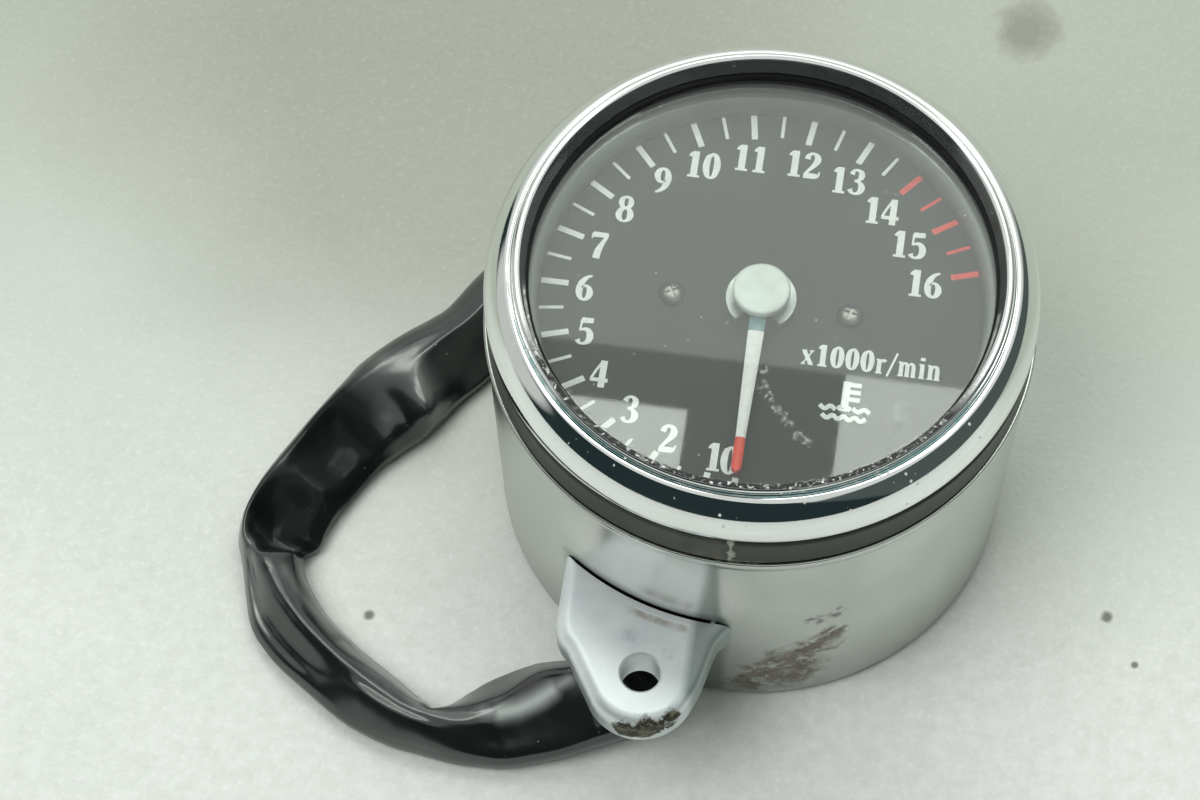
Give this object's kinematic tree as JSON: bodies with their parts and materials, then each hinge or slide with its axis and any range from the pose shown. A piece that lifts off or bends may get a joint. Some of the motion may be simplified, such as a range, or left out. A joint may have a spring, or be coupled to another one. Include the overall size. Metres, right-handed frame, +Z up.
{
  "type": "motorcycle tachometer",
  "caption": "Round chrome-cased tachometer with a glass face, one sprung pointer, a bolt-on side lug and a short sleeved lead ending in a plug.",
  "frame": {"origin": "centre of the cup's flat base", "axes": "+Z up the cup's axis to the glass, +Y towards the dial's 12 o'clock, +X to the dial's right"},
  "size_m": [0.1302, 0.1322, 0.0715],
  "materials": {
    "satin_chrome": "satin polished, lightly scuffed",
    "lug_metal": "polished, pitted at the tip",
    "rubber": "matte",
    "chrome": "mirror polished",
    "glass": "clear, lightly scratched",
    "grey_plastic": "matte",
    "dial_black": "matte black, printed",
    "steel": "plain",
    "brass": "machined",
    "magnet": "sintered",
    "silver": "satin silver",
    "needle_white": "painted white",
    "needle_red": "painted red",
    "black_plastic": "moulded",
    "white_plastic": "moulded",
    "copper": "enamelled copper wire",
    "board_green": "solder mask",
    "lamp_glass": "clear",
    "vinyl": "glossy soft vinyl"
  },
  "bodies": {
    "case": {"cup": "satin_chrome", "mounting_lug": "lug_metal", "seal_band": "rubber", "bezel": "chrome", "lens": "glass", "lens_gasket": "rubber", "dial_surround": "grey_plastic", "dial_plate": "dial_black", "dial_screw_left": "steel", "dial_screw_right": "steel", "dial_post_left": "brass", "dial_post_right": "brass", "movement_can": "steel", "lower_bearing": "brass", "upper_bearing": "brass", "coil_bobbin": "black_plastic", "coil_a_front": "copper", "coil_a_back": "copper", "coil_b_left": "copper", "coil_b_right": "copper", "movement_plate": "steel", "hairspring": "brass", "inner_case": "black_plastic", "case_post_1": "black_plastic", "case_post_2": "black_plastic", "case_post_3": "black_plastic", "case_screw_1": "steel", "case_screw_2": "steel", "case_screw_3": "steel", "circuit_board": "board_green", "board_standoff_1": "brass", "board_standoff_2": "brass", "board_standoff_3": "brass", "board_screw_1": "steel", "board_screw_2": "steel", "board_screw_3": "steel", "driver_chip": "black_plastic", "filter_capacitor": "silver", "regulator": "black_plastic", "board_header": "white_plastic", "left_lamp_socket": "black_plastic", "left_lamp_bulb": "lamp_glass", "right_lamp_socket": "black_plastic", "right_lamp_bulb": "lamp_glass", "warning_lamp_socket": "black_plastic", "warning_lamp_bulb": "lamp_glass", "warning_tube": "black_plastic", "light_housing": "white_plastic", "outlet_boot": "rubber", "harness_sleeve": "vinyl", "harness_wires": "vinyl", "plug_housing": "white_plastic", "plug_latch": "white_plastic"},
    "pointer": {"spindle": "steel", "rotor_magnet": "magnet", "hub_cap": "silver", "counterweight": "chrome", "needle_arm": "needle_white", "needle_tip": "needle_red"}
  },
  "joints": [
    {"name": "pointer_turn", "type": "hinge", "parent": "case", "child": "pointer", "pos_m": [0, 0, 0.0615], "axis": [0, 0, -1], "range_deg": [0, 252], "stiffness_Nm_per_rad": 0.00002}
  ]
}
